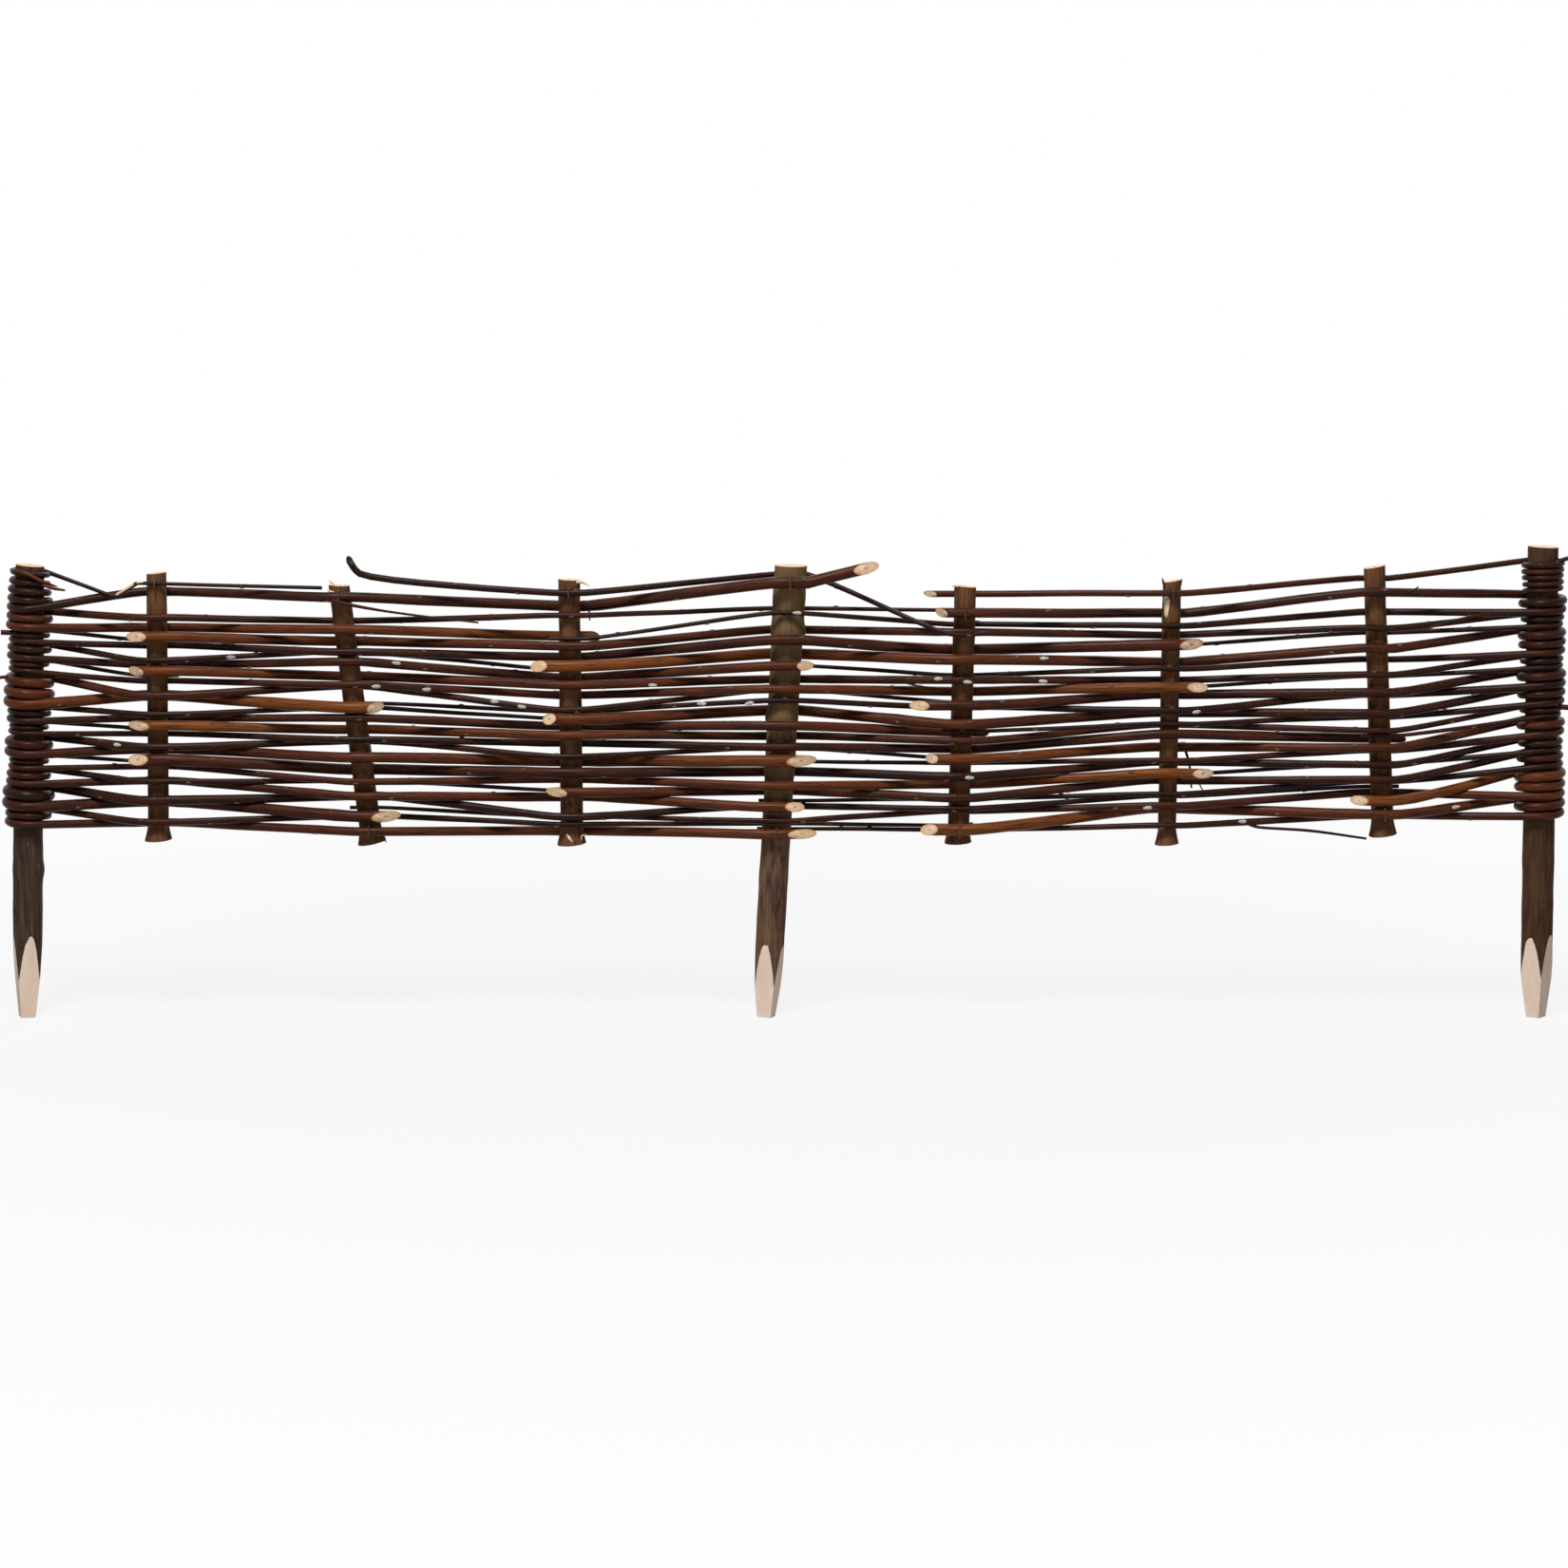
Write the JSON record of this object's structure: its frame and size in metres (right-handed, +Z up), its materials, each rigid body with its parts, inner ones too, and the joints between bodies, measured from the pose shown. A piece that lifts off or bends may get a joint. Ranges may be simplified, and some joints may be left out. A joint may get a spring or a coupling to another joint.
{
  "type": "woven willow hurdle",
  "caption": "Low garden edging hurdle of dark willow rods woven round upright sticks, with pointed stakes that push into the ground.",
  "frame": {"origin": "on the axis of the middle stake at the ground line, just under the weave", "axes": "+X along the hurdle to the right as seen from the front, +Y from the front to the back, +Z up"},
  "size_m": [1.1967, 0.045, 0.3636],
  "materials": {
    "rod_bark": "satin",
    "upright_bark": "matt",
    "stake_bark": "matt",
    "staple_wire": "satin"
  },
  "bodies": {
    "root": {"left_stake": "stake_bark", "middle_stake": "stake_bark", "right_stake": "stake_bark", "rod_01_left": "rod_bark", "rod_01_right": "rod_bark", "rod_02_left": "rod_bark", "rod_02_right": "rod_bark", "rod_03_left": "rod_bark", "rod_03_right": "rod_bark", "rod_04_left": "rod_bark", "rod_04_right": "rod_bark", "rod_05_left": "rod_bark", "rod_05_right": "rod_bark", "rod_06_left": "rod_bark", "rod_06_right": "rod_bark", "rod_07_left": "rod_bark", "rod_07_right": "rod_bark", "rod_08_left": "rod_bark", "rod_08_right": "rod_bark", "rod_09_left": "rod_bark", "rod_09_right": "rod_bark", "rod_10_left": "rod_bark", "rod_10_right": "rod_bark", "rod_11_left": "rod_bark", "rod_11_right": "rod_bark", "rod_12_left": "rod_bark", "rod_12_right": "rod_bark", "side_shoot": "rod_bark", "staples": "staple_wire", "top_rod_left": "rod_bark", "top_rod_middle": "rod_bark", "top_rod_right": "rod_bark", "upright_1": "upright_bark", "upright_2": "upright_bark", "upright_3": "upright_bark", "upright_4": "upright_bark", "upright_5": "upright_bark", "upright_6": "upright_bark"}
  },
  "joints": []
}
